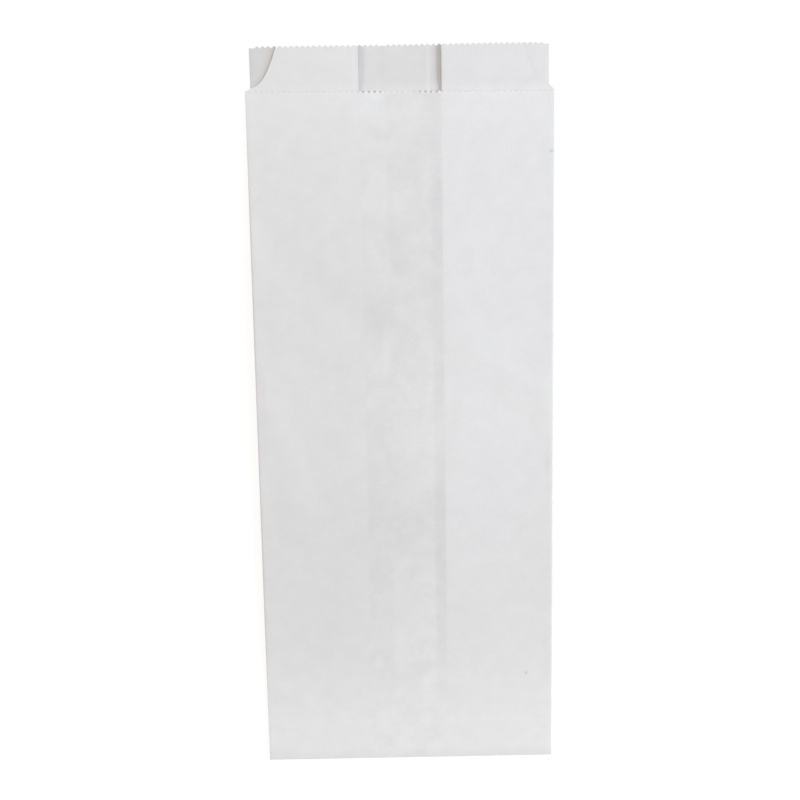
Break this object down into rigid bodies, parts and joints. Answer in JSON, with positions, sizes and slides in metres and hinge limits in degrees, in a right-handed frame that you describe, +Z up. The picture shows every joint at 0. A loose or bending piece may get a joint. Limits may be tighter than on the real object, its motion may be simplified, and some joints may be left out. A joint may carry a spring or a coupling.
{
  "type": "side-gusseted paper bag",
  "caption": "Flat bleached kraft paper bag with side gussets, a lapped back seam, a toothed mouth with a lip and a turned-up pasted bottom.",
  "frame": {"origin": "on the ground under the middle of the bag, which lies on its back panel", "axes": "+X to the right across the bag seen from the front, +Y from the bottom fold to the mouth, +Z up out of the front panel"},
  "size_m": [0.175, 0.433, 0.0063],
  "materials": {
    "bleached_kraft_paper": "machine-glazed bleached kraft paper, matt"
  },
  "bodies": {
    "root": {"paper_bag": "bleached_kraft_paper"}
  },
  "joints": []
}
